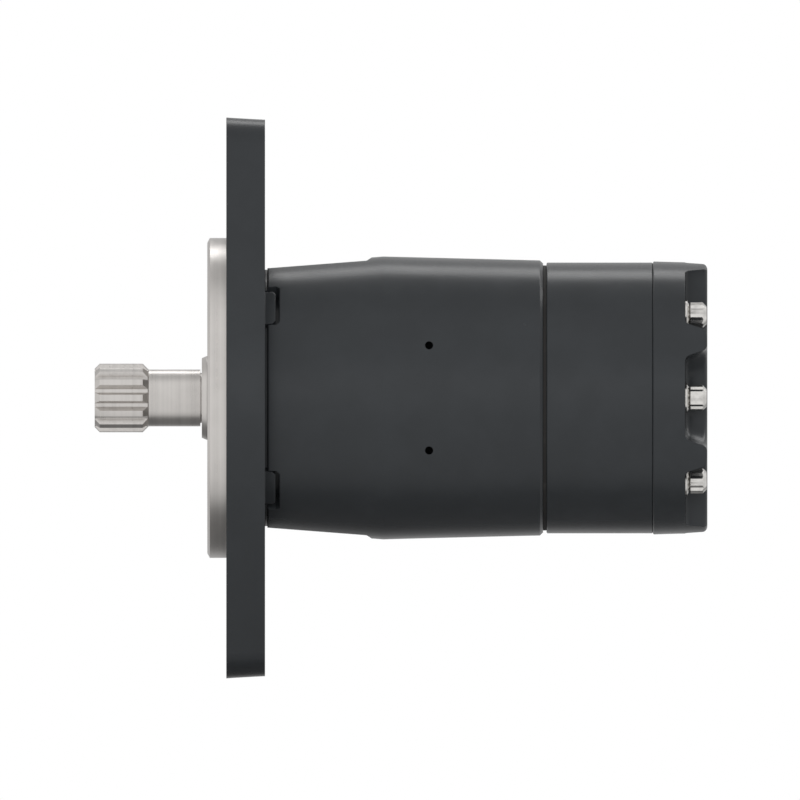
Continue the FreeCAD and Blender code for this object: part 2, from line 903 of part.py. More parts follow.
def main_housing():
    boss = side_hole(drain_boss_radius, x_drain, 0, drain_boss_height, 0)
    body = housing_skin().fuse([port_pad(), boss])
    x_bolt_way = x_housing_end - bolt_engagement - tapping_depth
    x_screw_tip = x_pilot_face + cover_screw_length
    screw_way = rod(
        cover_screw_radius + thread_clearance,
        x_housing - cutter_overrun,
        x_screw_tip + tapping_depth,
        cover_screw_circle,
    )
    half_groove = oil_groove_width / 2
    cuts = [
        rod(register_radius, x_housing - cutter_overrun, x_chamber_end),
        rod(spool_bore_radius, x_chamber_end - cutter_overrun, x_housing_end + cutter_overrun),
        rod(oil_groove_radius, x_groove_a - half_groove, x_groove_a + half_groove),
        rod(oil_groove_radius, x_groove_b - half_groove, x_groove_b + half_groove),
        seal_groove(x_housing_end - seal_groove_depth, x_housing_end + cutter_overrun),
    ]
    cuts += ring_of(screw_way, cover_screw_count, cover_screw_start)
    cuts += bolt_holes(bolt_radius + thread_clearance, x_bolt_way, x_housing_end + cutter_overrun)
    cuts += feed_holes()
    cuts += port_holes()
    cuts += drain_holes()
    cuts += tag_holes()
    cuts += lug_notches()
    cuts += housing_flats()
    return body.cut(cuts).removeSplitter()


# Drain plug

def drain_plug():
    y_head = drain_boss_height + drain_seal_thickness
    y_top = y_head + drain_plug_head_height
    head = side_hole(drain_plug_head_radius, x_drain, y_head, y_top, 0)
    shank = side_hole(drain_thread_radius - thread_clearance, x_drain, y_head - drain_plug_length, y_head, 0)
    socket = Part.Face(hexagon(
        drain_plug_socket_flats,
        lambda radius, angle: vector(
            x_drain + radius * math.cos(math.radians(angle)),
            y_head,
            radius * math.sin(math.radians(angle)),
        ),
    )).extrude(vector(0, drain_plug_head_height, 0))
    return head.fuse(shank).cut(socket).removeSplitter()


def drain_plug_seal():
    y_top = drain_boss_height + drain_seal_thickness
    outer = side_hole(drain_plug_head_radius, x_drain, drain_boss_height, y_top, 0)
    return outer.cut(side_hole(drain_thread_radius, x_drain, drain_boss_height, y_top, 0))


# Roller gear set

def wear_plate():
    plate = ring(link_way_radius, wear_plate_radius, x_housing_end, x_stator)
    feed = rod(feed_radius, x_housing_end, x_stator, feed_circle_radius)
    return plate.cut(bolt_holes(bolt_hole_radius, x_housing_end, x_stator) + ring_of(feed, bolt_count))


def stator_ring():
    blank = turned_solid([
        (x_stator, stator_bore_radius),
        (x_stator, stator_radius - seam_chamfer),
        (x_stator + seam_chamfer, stator_radius),
        (x_end_cover - seam_chamfer, stator_radius),
        (x_end_cover, stator_radius - seam_chamfer),
        (x_end_cover, stator_bore_radius),
    ])
    pocket = rod(pocket_radius, x_stator, x_end_cover, roller_circle_radius)
    cuts = ring_of(pocket, roller_count, first_roller)
    cuts += bolt_holes(bolt_hole_radius, x_stator, x_end_cover)
    cuts.append(seal_groove(x_stator, x_stator + seal_groove_depth))
    return blank.cut(cuts)


def rollers():
    """The first one lies opposite the first bolt, on the side to which the rotor is moved."""
    x_from = x_stator + rolling_clearance
    x_to = x_end_cover - rolling_clearance
    return ring_of(rod(roller_radius, x_from, x_to, roller_circle_radius), roller_count, first_roller)


def rotor_point(x, step):
    """The rolling curve of the roller centres seen from the rotor, moved in by a roller's radius."""
    waves = roller_count
    turn = complex(math.cos(step), math.sin(step))
    wave = turn ** waves
    centre = roller_circle_radius * turn - eccentricity * wave
    slope = 1j * (roller_circle_radius * turn - waves * eccentricity * wave)
    point = centre + (roller_radius + rolling_clearance) * 1j * slope / abs(slope)
    return vector(x, point.real + eccentricity, point.imag)


def rotor():
    """The lobed rotor, one lobe fewer than there are rollers, resting against the first roller."""
    lobes = roller_count - 1
    x_from = x_stator + rolling_clearance
    x_to = x_end_cover - rolling_clearance
    edges = []
    for lobe in range(lobes):
        points = []
        for index in range(points_per_lobe):
            share = lobe + 0.5 + index / (points_per_lobe - 1)
            points.append(rotor_point(x_from, 2 * math.pi * share / lobes))
        curve = Part.BSplineCurve()
        curve.interpolate(Points=points)
        edges.append(curve.toShape())
    blank = prism(Part.Wire(edges), x_to - x_from)
    hole = inner_spline(x_from, x_to)
    hole.translate(vector(0, eccentricity, 0))
    return blank.cut(hole)


# Drive link

def crowned_blank(middle, length):
    """A barrel whose outside follows the crown radius along the link."""
    half = length / 2
    drop = crown_radius - math.sqrt(crown_radius ** 2 - half ** 2)
    low = drive_tip_radius - drop
    edges = [
        Part.Arc(
            on_profile(middle - half, low),
            on_profile(middle, drive_tip_radius),
            on_profile(middle + half, low),
        ).toShape(),
        Part.LineSegment(on_profile(middle + half, low), on_profile(middle + half, 0)).toShape(),
        Part.LineSegment(on_profile(middle + half, 0), on_profile(middle - half, 0)).toShape(),
        Part.LineSegment(on_profile(middle - half, 0), on_profile(middle - half, low)).toShape(),
    ]
    face = Part.Face(Part.Wire(edges))
    return face.revolve(vector(0, 0, 0), vector(1, 0, 0), 360)


def crowned_gap(middle, length):
    """One tooth gap, swung about an axis across the link so that the teeth thin out at their ends."""
    high = drive_tip_radius + cutter_overrun
    corners = []
    for radius, side in ((drive_root_radius, -1), (high, -1), (high, 1), (drive_root_radius, 1)):
        half_width = drive_tooth_half_width(radius) + drive_flank_clearance
        corners.append(vector(middle, -radius, side * half_width))
    face = Part.Face(Part.Wire(Part.makePolygon(corners + corners[:1])))
    swing = math.degrees(math.asin((length / 2 + cutter_overrun) / crown_radius))
    centre = vector(middle, crown_radius - drive_root_radius, 0)
    face.rotate(centre, vector(0, 0, 1), -swing)
    return face.revolve(centre, vector(0, 0, 1), 2 * swing)


def drive_link():
    """A dumb-bell shaft with crowned teeth at both ends, tilted from the shaft axis to the rotor axis."""
    link = rod(link_body_radius, 0, link_span)
    gaps = []
    for middle, length in ((0, front_spline_length), (link_span, rear_spline_length)):
        link = link.fuse(crowned_blank(middle, length))
        gaps += ring_of(crowned_gap(middle, length), drive_teeth, 180.0 / drive_teeth)
    link = link.cut(gaps)
    link.rotate(vector(0, 0, 0), vector(0, 0, 1), math.degrees(link_tilt))
    link.translate(vector(x_front_pivot, 0, 0))
    return link


def drive_spacer():
    """The disc that takes up the room between the link's end and the end cover."""
    x_from = x_rear_pivot + rear_spline_length / 2 + link_end_gap
    spacer = rod(spacer_radius, x_from, x_end_cover - rolling_clearance)
    spacer.translate(vector(0, eccentricity, 0))
    return spacer


# End cover, its bolts and the body seals

def scallop():
    """The flared pocket in which one bolt head sits, open to the cover's rim."""
    x_out = x_end + cutter_overrun
    flare = scallop_face_radius + scallop_edge_radius
    corners = [
        (x_scallop_floor, 0),
        (x_scallop_floor, scallop_floor_radius, scallop_floor_fillet),
        (x_end, scallop_face_radius, scallop_edge_radius),
        (x_end, flare),
        (x_out, flare),
        (x_out, 0),
    ]
    cutter = turned_solid(corners)
    cutter.translate(around(0, scallop_circle_radius, 0))
    return cutter


def end_cover():
    blank = turned_solid([
        (x_end_cover, 0),
        (x_end_cover, end_cover_radius - seam_chamfer),
        (x_end_cover + seam_chamfer, end_cover_radius),
        (x_end, end_cover_rear_radius, end_cover_edge_radius),
        (x_end, 0),
    ])
    cuts = ring_of(scallop(), bolt_count)
    cuts += bolt_holes(bolt_hole_radius, x_end_cover - cutter_overrun, x_end)
    cuts.append(seal_groove(x_end_cover - cutter_overrun, x_end_cover + seal_groove_depth))
    return blank.cut(cuts)


def end_cover_bolts():
    """Flanged twelve-point bolts, through the whole stack into the housing."""
    x_head = x_scallop_floor + bolt_flange_thickness
    x_top = x_scallop_floor + bolt_flange_thickness + bolt_head_height
    x_tip = x_housing_end - bolt_engagement
    point = bolt_radius * point_share
    flats = bolt_point_radius * math.sqrt(3)
    star = None
    for quarter in (0, 30):
        wire = hexagon(flats, lambda radius, angle: around(x_head, radius, angle + quarter))
        hexagonal = prism(wire, bolt_head_height)
        star = hexagonal if star is None else star.fuse(hexagonal)
    envelope = turned_solid([
        (x_head, 0),
        (x_head, bolt_point_radius),
        (x_top - bolt_head_chamfer, bolt_point_radius),
        (x_top, bolt_point_radius - bolt_head_chamfer),
        (x_top, 0),
    ])
    stem = turned_solid([
        (x_tip, 0),
        (x_tip, bolt_radius - point),
        (x_tip + point, bolt_radius),
        (x_scallop_floor, bolt_radius),
        (x_scallop_floor, bolt_flange_radius),
        (x_scallop_floor + bolt_flange_rim, bolt_flange_radius),
        (x_head, bolt_neck_radius),
        (x_head, 0),
    ])
    bolt = stem.fuse(star.removeSplitter().common(envelope)).removeSplitter()
    bolt.translate(around(0, bolt_circle_radius, 0))
    return ring_of(bolt, bolt_count)


def body_seal(x_from, x_to):
    """A square-cut ring in a face groove."""
    inner = seal_groove_inner_radius + static_clearance
    outer = seal_groove_inner_radius + seal_groove_width - static_clearance
    return ring(inner, outer, x_from, x_to)


def main():
    os.makedirs("parts", exist_ok=True)
    save("mounting_flange", mounting_flange())
    save("front_cover", front_cover())
    save("cover_screws", cover_screws())
    save("dust_seal", dust_seal())
    save("shaft_seal", shaft_seal())
    save("seal_backup_washer", seal_backup_washer())
    save("cover_seal_ring", cover_seal_ring())
    save("bearing_ring", bearing_ring())
    save("bearing_cage", bearing_cage())
    save("bearing_needles", bearing_needles())
    save("thrust_washer_front", thrust_washer_front())
    save("thrust_cage", thrust_cage())
    save("thrust_needles", thrust_needles())
    save("thrust_washer_rear", thrust_washer_rear())
    save("thrust_ring", thrust_ring())
    save("output_shaft", output_shaft())
    save("main_housing", main_housing())
    save("drain_plug", drain_plug())
    save("drain_plug_seal", drain_plug_seal())
    save("wear_plate", wear_plate())
    save("stator_ring", stator_ring())
    save("rotor", rotor())
    for number, roller in enumerate(rollers(), start=1):
        save("roller_" + str(number), roller)
    save("drive_link", drive_link())
    save("drive_spacer", drive_spacer())
    save("end_cover", end_cover())
    save("end_cover_bolts", end_cover_bolts())
    save("housing_seal_ring", body_seal(x_housing_end - seal_groove_depth, x_housing_end))
    save("stator_seal_ring", body_seal(x_stator, x_stator + seal_groove_depth))
    save("end_cover_seal_ring", body_seal(x_end_cover, x_end_cover + seal_groove_depth))


main()
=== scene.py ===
"""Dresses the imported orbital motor: paint, bare steel, rubber and bronze, the threads in its
ports, and the stage with floor, light and camera. Metres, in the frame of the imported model:
X along the shaft, Z along the flange's bolt line, +Y towards the ports."""

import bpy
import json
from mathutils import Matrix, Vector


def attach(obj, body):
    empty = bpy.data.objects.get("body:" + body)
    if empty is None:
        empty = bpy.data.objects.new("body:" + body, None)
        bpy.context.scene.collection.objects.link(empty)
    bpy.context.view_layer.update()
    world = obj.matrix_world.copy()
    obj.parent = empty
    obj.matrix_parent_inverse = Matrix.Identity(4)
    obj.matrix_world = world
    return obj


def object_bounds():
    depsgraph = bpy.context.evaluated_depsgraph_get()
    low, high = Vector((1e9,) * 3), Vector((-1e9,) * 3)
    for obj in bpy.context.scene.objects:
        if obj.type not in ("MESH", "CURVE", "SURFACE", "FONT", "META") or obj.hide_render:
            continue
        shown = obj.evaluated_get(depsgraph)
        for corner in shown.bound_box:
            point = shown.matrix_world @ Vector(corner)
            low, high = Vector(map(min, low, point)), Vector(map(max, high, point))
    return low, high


bl_info = {
    "name": "Orbital motor finishes",
    "version": (1, 0, 0),
    "blender": (4, 5, 0),
    "location": "View3D > Sidebar > Motor",
    "description": "Gives the packed orbital motor its finishes, port threads, light and camera",
    "category": "Object",
}

import json
import math

import bmesh
import bpy
from bpy.props import FloatProperty, FloatVectorProperty, IntProperty, PointerProperty
from bpy.types import Operator, Panel, PropertyGroup
from mathutils import Vector

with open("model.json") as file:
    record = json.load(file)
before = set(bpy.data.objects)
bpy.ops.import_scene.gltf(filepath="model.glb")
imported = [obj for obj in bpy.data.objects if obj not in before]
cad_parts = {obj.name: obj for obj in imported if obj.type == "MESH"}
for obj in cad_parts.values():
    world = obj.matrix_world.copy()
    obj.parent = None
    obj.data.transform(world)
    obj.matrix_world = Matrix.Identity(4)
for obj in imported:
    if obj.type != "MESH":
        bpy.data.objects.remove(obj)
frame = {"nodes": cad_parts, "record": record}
cad_low, cad_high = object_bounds()

MILLIMETRE = 0.001
FULL_TURN = 2 * math.pi
WHITE = (1.0, 1.0, 1.0)
MOUNTS = {mount["name"]: mount for mount in frame["record"]["mounts"]}
PORTS = ("port_a", "port_b")

# How strongly the paint mirrors the studio
PAINT_IOR = 1.32

# How far a patch of bare metal, or of painted shade in a tag hole, reaches past the face or hole that it
# belongs to
SPOT_FACE_MARGIN = 0.02 * MILLIMETRE
TAG_HOLE_MARGIN = 0.03 * MILLIMETRE
PORT_FLOOR_MARGIN = 0.5 * MILLIMETRE

# Edges between faces that meet at more than this stay sharp
SHARP_ANGLE = math.radians(25)

# How bright gloss shows the studio: degrees from the front, over the top and down below, and level there
STUDIO_BANDS = (
    (-180, 0.60),
    (-160, 0.56),
    (-138, 0.21),
    (-88, 0.19),
    (-76, 0.66),
    (-58, 0.90),
    (66, 1.00),
    (92, 0.63),
    (180, 0.60),
)

# Softboxes: place from the middle of the motor, then length and width
REAR_PLACE = (0.42, 0.623, 0.790)
REAR_SIZE = (1.2, 0.274)
FRONT_PLACE = (0.0, -0.776, 0.082)
FRONT_SIZE = (0.7, 0.5)
BACK_PLACE = (0.0, 0.60, 0.50)
BACK_SIZE = (0.7, 0.5)

CAMERA_DISTANCE = 1.0


# Values that a user would change

def length(name, description, default):
    return FloatProperty(name=name, description=description, default=default, unit="LENGTH", precision=5)


def share(name, description, default):
    return FloatProperty(
        name=name, description=description, default=default, subtype="FACTOR", min=0.0, max=1.0)


def level(name, description, default):
    return FloatProperty(name=name, description=description, default=default, min=0.0)


def colour(name, description, default):
    return FloatVectorProperty(
        name=name, description=description, default=default, subtype="COLOR", size=3, min=0.0, max=1.0)


class PortThreadSizes(PropertyGroup):
    """The threads cut into both ports."""

    pitch: length("Pitch", "Distance from one turn to the next", 1.814 * MILLIMETRE)
    depth: length("Depth", "Height of a turn above the bore's wall", 0.95 * MILLIMETRE)
    crest: length("Crest", "Width of the flat on top of a turn", 0.22 * MILLIMETRE)
    foot: share("Foot", "Half the width of a turn at the bore's wall, as a share of the pitch", 0.44)
    sunk: length("Sunk", "How far the foot of a turn reaches into the wall", 0.05 * MILLIMETRE)
    fade: FloatProperty(
        name="Fade", description="Turns over which the thread runs out at each end", default=0.5, min=0.05)
    steps: IntProperty(name="Steps", description="Sides of one turn", default=72, min=12)
    spot_face: length("Spot face", "Radius of the bare machined ring around a port", 16.5 * MILLIMETRE)


class FinishColours(PropertyGroup):
    """Colours and gloss of the motor's finishes."""

    paint: colour("Paint", "Satin black paint", (0.0272, 0.0301, 0.0331))
    paint_gloss: share("Paint roughness", "Roughness of the dry paint", 0.25)
    primer: colour("Primer", "Grey that shows where the paint is thin on an edge", (0.045, 0.047, 0.050))
    steel: colour("Steel", "Bare turned steel", (0.637, 0.612, 0.588))
    steel_gloss: share("Steel roughness", "Roughness of turned steel", 0.30)
    ground_steel: colour("Ground steel", "Hardened and ground steel", (0.600, 0.585, 0.565))
    cast_iron: colour("Machined iron", "Iron laid bare by the port cutter", (0.400, 0.395, 0.385))
    plating: colour("Plating", "Bright zinc on bolts and plug", (0.720, 0.705, 0.680))
    blackened: colour("Blackened steel", "Oxide black on the cover screws", (0.032, 0.033, 0.036))
    phosphate: colour("Phosphate", "Dull coat on the wear plate", (0.014, 0.013, 0.012))
    bronze: colour("Bronze", "Thrust ring", (0.560, 0.360, 0.150))
    rubber: colour("Rubber", "Nitrile seals", (0.014, 0.014, 0.015))


class StageSettings(PropertyGroup):
    """Camera, light and floor."""

    picture_scale: length("Picture scale", "Size of one pixel at the motor", 0.3176 * MILLIMETRE)
    picture_width: IntProperty(
        name="Picture width", description="Pixels across the picture", default=800, subtype="PIXEL")
    aim_across: length("Aim across", "Camera axis from the middle of the motor's length", -0.33 * MILLIMETRE)
    aim_up: length("Aim up", "Camera axis from the shaft axis, upwards", -0.65 * MILLIMETRE)
    floor: colour("Floor", "Plain pale floor", (0.93, 0.93, 0.93))
    bounce: share("Bounce", "How much of its light the floor gives back to the motor", 0.55)
    floor_half_width: length("Floor half width", "Reach of the floor from the middle", 3.0)
    shadow_reach: length("Shadow reach", "Distance at which the floor starts to turn white", 0.30)
    fill: share("Fill", "Level of the light from all round", 0.50)
    beside: share("Beside", "Brightness in gloss of the studio at both ends of the shaft", 0.85)
    rear_level: level("Rear softbox", "Brightness of the rear softbox", 2.25)
    front_level: level("Front softbox", "Brightness of the front softbox", 3.5)
    back_level: level("Back softbox", "Brightness of the back softbox", 2.4)


# Shader maths

class Value:
    """A socket of a node tree. Arithmetic on it adds Math nodes."""

    def __init__(self, nodes, socket):
        self.nodes = nodes
        self.socket = socket

    def math(self, operation, first, second=0.0):
        return self.nodes.node("ShaderNodeMath", {"operation": operation}, {0: first, 1: second})

    def __add__(self, other):
        return self.math("ADD", self, other)

    def __radd__(self, other):
        return self.math("ADD", other, self)

    def __sub__(self, other):
        return self.math("SUBTRACT", self, other)

    def __rsub__(self, other):
        return self.math("SUBTRACT", other, self)

    def __mul__(self, other):
        return self.math("MULTIPLY", self, other)

    def __rmul__(self, other):
        return self.math("MULTIPLY", other, self)

    def __lt__(self, other):
        return self.math("LESS_THAN", self, other)

    def __gt__(self, other):
        return self.math("GREATER_THAN", self, other)

    def least(self, other):
        return self.math("MINIMUM", self, other)

    def most(self, other):
        return self.math("MAXIMUM", self, other)

    def root(self):
        return self.math("SQRT", self)

    def angle(self, ahead):
        """Angle of a direction that goes this far up and as far ahead as given, in radians."""
        return self.math("ARCTAN2", self, ahead)

    def ramp(self, low, high):
        """0 below low, 1 above high, smooth between."""
        return self.nodes.node(
            "ShaderNodeMapRange",
            {"interpolation_type": "SMOOTHSTEP"},
            {"Value": self, "From Min": low, "From Max": high},
        )


class Nodes:
    """The node tree of a material or of the world, and its main shader."""

    # Sockets of a Mix node that mixes colours
    MIX_FACTOR = 0
    MIX_FIRST = 6
    MIX_SECOND = 7
    MIX_RESULT = 2

    def __init__(self, owner, shader):
        owner.use_nodes = True
        self.tree = owner.node_tree
        self.shader = self.tree.nodes[shader]

    def node(self, kind, settings=None, values=None, result=0):
        """Adds a node: its settings come first, then the values or links of its sockets."""
        made = self.tree.nodes.new(kind)
        for name, setting in (settings or {}).items():
            if name == "stops":
                self.set_stops(made.color_ramp.elements, setting)
            else:
                setattr(made, name, setting)
        for name, value in (values or {}).items():
            self.connect(made.inputs[name], value)
        return Value(self, made.outputs[result])

    def set_stops(self, elements, stops):
        """Fills a colour ramp with greys, given as place and level."""
        while len(elements) < len(stops):
            elements.new(0.5)
        for element, (place, grey) in zip(elements, stops):
            element.position = place
            element.color = (grey, grey, grey, 1.0)

    def connect(self, socket, value):
        """Links a value to a socket, or sets a number or an opaque colour on it."""
        if isinstance(value, Value):
            self.tree.links.new(value.socket, socket)
        elif socket.type == "RGBA":
            socket.default_value = (*value, 1.0)
        else:
            socket.default_value = value

    def set(self, values):
        """Sets the main shader's sockets."""
        for name, value in values.items():
            self.connect(self.shader.inputs[name], value)

    def mix(self, first, second, factor):
        """A colour between two colours."""
        return self.node(
            "ShaderNodeMix",
            {"data_type": "RGBA"},
            {self.MIX_FACTOR: factor, self.MIX_FIRST: first, self.MIX_SECOND: second},
            self.MIX_RESULT,
        )

    def vector(self, x, y):
        return self.node("ShaderNodeCombineXYZ", values={"X": x, "Y": y})

    def split(self, vector):
        """The three parts of a vector."""
        parts = self.node("ShaderNodeSeparateXYZ", values={0: vector}).socket.node
        return [Value(self, socket) for socket in parts.outputs]

    def straight(self):
        """1 for what the eye sees directly."""
        return self.node("ShaderNodeLightPath", result="Is Camera Ray")

    def mirrored(self):
        """1 for what the eye sees in gloss or through glass."""
        glossy = self.node("ShaderNodeLightPath", result="Is Glossy Ray")
        return glossy.most(self.node("ShaderNodeLightPath", result="Is Transmission Ray"))


class Finish(Nodes):
    """One material, with textures laid out in the motor's own frame."""

    def __init__(self, name):
        self.material = bpy.data.materials.new(name)
        super().__init__(self.material, "Principled BSDF")
        self.place = self.node("ShaderNodeTexCoord", result="Object")
        self.x, self.y, self.z = self.split(self.place)

    def surface(self, values):
        """Sets the shader's sockets and gives the finished material."""
        self.set(values)
        return self.material

    def noise(self, grain, detail=3.0, roughness=0.5, at=None):
        """Cloudy noise from 0 to 1 whose blotches are about as wide as grain, in metres."""
        return self.node(
            "ShaderNodeTexNoise",
            values={
                "Vector": at or self.place,
                "Scale": 1.0 / grain,
                "Detail": detail,
                "Roughness": roughness,
            },
        )

    def distance(self, across, up):
        """Distance from an axis, from two lengths square to it."""
        return (across * across + up * up).root()

    def tool_marks(self, feed, detail=3.0):
        """Rings that a lathe leaves around the shaft axis, on round sides and on flat ends alike."""
        off_axis = self.distance(self.y, self.z)
        return self.noise(feed, detail, 0.6, self.vector(self.x, off_axis))

    def rounded(self, radius):
        """The normal of a surface whose sharp edges are rounded off."""
        return self.node("ShaderNodeBevel", {"samples": 6}, {"Radius": radius}, "Normal")

    def edges(self, soft_normal):
        """1 on sharp edges, 0 away from them."""
        facing = self.node("ShaderNodeNewGeometry", result="Normal")
        alike = self.node(
            "ShaderNodeVectorMath", {"operation": "DOT_PRODUCT"}, {0: soft_normal, 1: facing}, "Value")
        return (1.0 - alike).ramp(0.01, 0.22)

    def bump(self, height, depth, soft_normal):
        """A normal raised by height, whose full range stands for depth, in metres."""
        return self.node(
            "ShaderNodeBump",
            values={"Strength": 1.0, "Distance": depth, "Height": height, "Normal": soft_normal},
        )


# Finishes

def shade(tone, factor):
    """A darker or paler tone of a colour."""
    return tuple(channel * factor for channel in tone)


def satin_paint(finish, soft, chip, cloud_width, smoother):
    """Colour and roughness of satin paint, a little cloudy and worn thin in chips along the edges."""
    colours = bpy.context.scene.motor_colours
    worn = finish.edges(soft) * finish.noise(chip).ramp(0.35, 0.7)
    cloud = finish.noise(cloud_width)
    coat = finish.mix(colours.paint, shade(colours.paint, 1.12), cloud.ramp(0.3, 0.75))
    coat = finish.mix(coat, colours.primer, worn * 0.5)
    gloss = colours.paint_gloss - smoother + cloud * 0.1 - worn * 0.08
    return coat, gloss


def cast_paint(finish, grain):
    """Colour, roughness, height and soft normal of satin paint over a sand casting."""
    soft = finish.rounded(0.45 * MILLIMETRE)
    coat, gloss = satin_paint(
        finish, soft, chip=2.2 * MILLIMETRE, cloud_width=14 * MILLIMETRE, smoother=0.05)
    skin = finish.noise(grain, roughness=0.55) * 0.7 + finish.noise(grain / 4, detail=2.0) * 0.3
    return coat, gloss, skin, soft


def flange_paint():
    """Satin paint over a sand casting."""
    finish = Finish("flange_paint")
    coat, gloss, skin, soft = cast_paint(finish, grain=1.6 * MILLIMETRE)
    return finish.surface({
        "Base Color": coat,
        "Roughness": gloss,
        "IOR": PAINT_IOR,
        "Normal": finish.bump(skin, 0.022 * MILLIMETRE, soft),
    })


def housing_paint():
    """Satin paint over a sand casting, darkened in the tag holes as painted shade, and cut down to bare iron
    around the ports.
    """
    colours = bpy.context.scene.motor_colours
    finish = Finish("housing_paint")
    coat, gloss, skin, soft = cast_paint(finish, grain=1.3 * MILLIMETRE)
    holes = painted_hole_shade_mask(finish)
    # Painted shade: the paint inside the tag holes is darkened to a third of its tone and made rough
    coat = finish.mix(coat, shade(colours.paint, 0.3), holes)
    gloss = gloss.most(holes * 0.9)
    bare_a, bare_b = (port_mask(finish, port) for port in PORTS)
    bare = bare_a.most(bare_b)
    rings = port_rings(finish)
    iron = finish.mix(colours.cast_iron, shade(colours.cast_iron, 0.8), rings)
    height = skin * (1.0 - bare) + rings * 0.5 * bare
    return finish.surface({
        "Base Color": finish.mix(coat, iron, bare),
        "Roughness": gloss * (1.0 - bare) + (rings * 0.15 + 0.25) * bare,
        "Metallic": bare,
        "IOR": PAINT_IOR,
        "Normal": finish.bump(height, 0.018 * MILLIMETRE, soft),
    })


def painted_hole_shade_mask(finish):
    """1 inside the two small holes for the name tag, which lie on both sides of the shaft axis: where the
    paint is darkened as painted shade.
    """
    mount = MOUNTS["tag_holes"]
    x, _, _ = mount["pos_m"]
    half = mount["dims"]["spacing_y_mm"] / 2 * MILLIMETRE
    radius = mount["dims"]["hole_r_mm"] * MILLIMETRE
    off_axis = (finish.z * finish.z).root()
    inside = finish.distance(finish.x - x, off_axis - half) < radius + TAG_HOLE_MARGIN
    return inside * (finish.y < 0.0)


def port_distance(finish, port):
    """Distance from the axis of a port."""
    x, _, z = MOUNTS[port]["pos_m"]
    return finish.distance(finish.x - x, finish.z - z)


def port_mask(finish, port):
    """1 on a port's spot face and inside its bore."""
    sizes = bpy.context.scene.motor_threads
    _, y, _ = MOUNTS[port]["pos_m"]
    floor = y - MOUNTS[port]["dims"]["length_mm"] * MILLIMETRE / 2
    inside = port_distance(finish, port) < sizes.spot_face + SPOT_FACE_MARGIN
    return inside * (finish.y > floor - PORT_FLOOR_MARGIN)


def port_rings(finish):
    """Cutter marks around whichever port is nearer."""
    from_a, from_b = (port_distance(finish, port) for port in PORTS)
    around = finish.vector(from_a.least(from_b), finish.y)
    return finish.noise(0.35 * MILLIMETRE, detail=2.0, roughness=0.6, at=around)


def disc_paint():
    """Satin paint over turned discs, smoother than on the castings, with faint tool marks below it."""
    finish = Finish("disc_paint")
    soft = finish.rounded(0.35 * MILLIMETRE)
    coat, gloss = satin_paint(
        finish, soft, chip=1.8 * MILLIMETRE, cloud_width=11 * MILLIMETRE, smoother=0.06)
    skin = finish.tool_marks(0.8 * MILLIMETRE) * 0.5 + finish.noise(0.5 * MILLIMETRE, detail=2.0) * 0.5
    return finish.surface({
        "Base Color": coat,
        "Roughness": gloss,
        "IOR": PAINT_IOR,
        "Normal": finish.bump(skin, 0.010 * MILLIMETRE, soft),
    })


def turned_metal(name, tone, gloss, feed, depth, edge_radius):
    """Bare metal with the rings of a turning tool and a thin film of oil."""
    finish = Finish(name)
    soft = finish.rounded(edge_radius)
    marks = finish.tool_marks(feed)
    rings = finish.tool_marks(feed * 4, detail=2.0)
    film = finish.noise(9 * MILLIMETRE)
    return finish.surface({
        "Base Color": finish.mix(shade(tone, 0.86), tone, (film * 0.35 + rings * 0.65).ramp(0.3, 0.62)),
        "Metallic": 1.0,
        "Roughness": gloss - 0.11 + marks * 0.08 + rings * 0.08 + film * 0.06,
        "Normal": finish.bump(marks, depth, soft),
    })


def ground_metal(name, tone, gloss, edge_radius):
    """Hardened metal with fine grinding lines and a few darker stains."""
    finish = Finish(name)
    soft = finish.rounded(edge_radius)
    lines = finish.tool_marks(0.18 * MILLIMETRE)
    stain = finish.noise(6 * MILLIMETRE, detail=4.0).ramp(0.5, 0.8)
    return finish.surface({
        "Base Color": finish.mix(tone, shade(tone, 0.82), stain),
        "Metallic": 1.0,
        "Roughness": gloss - 0.04 + lines * 0.08 + stain * 0.06,
        "Normal": finish.bump(lines, 0.002 * MILLIMETRE, soft),
    })


def bolt_zinc():
    """Bright zinc: faint crystals, softer gloss and a paler tone in patches, and every edge brightened as a
    painted highlight.
    """
    zinc = bpy.context.scene.motor_colours.plating
    finish = Finish("bolt_zinc")
    soft = finish.rounded(0.25 * MILLIMETRE)
    crystal = finish.noise(0.5 * MILLIMETRE)
    patch = finish.noise(4 * MILLIMETRE)
    # Paler zinc in random patches, and on every edge as a painted highlight
    patch_and_edge_highlight = patch.ramp(0.3, 0.6).most(finish.edges(soft))
    return finish.surface({
        "Base Color": finish.mix(shade(zinc, 0.8), zinc, patch_and_edge_highlight),
        "Metallic": 1.0,
        "Roughness": 0.15 + crystal * 0.06 + patch * 0.06,
        "Normal": finish.bump(crystal, 0.004 * MILLIMETRE, soft),
    })


def screw_black():
    """Oxide black with bare steel showing on the edges of the sockets."""
    colours = bpy.context.scene.motor_colours
    finish = Finish("screw_black")
    soft = finish.rounded(0.2 * MILLIMETRE)
    worn = finish.edges(soft) * finish.noise(0.9 * MILLIMETRE).ramp(0.45, 0.7)
    bloom = finish.noise(1.6 * MILLIMETRE)
    return finish.surface({
        "Base Color": finish.mix(colours.blackened, colours.steel, worn * 0.6),
        "Metallic": 0.85,
        "Roughness": 0.34 + bloom * 0.14,
        "Normal": finish.bump(bloom, 0.004 * MILLIMETRE, soft),
    })


def plate_phosphate():
    """A dull dark coat of fine crystals, rubbed a little paler in patches."""
    coat = bpy.context.scene.motor_colours.phosphate
    finish = Finish("plate_phosphate")
    soft = finish.rounded(0.12 * MILLIMETRE)
    crystal = finish.noise(0.25 * MILLIMETRE)
    rubbed = finish.noise(5 * MILLIMETRE).ramp(0.55, 0.8)
    return finish.surface({
        "Base Color": finish.mix(coat, shade(coat, 1.8), rubbed),
        "Roughness": 0.68 + crystal * 0.16 - rubbed * 0.12,
        "Normal": finish.bump(crystal, 0.004 * MILLIMETRE, soft),
    })


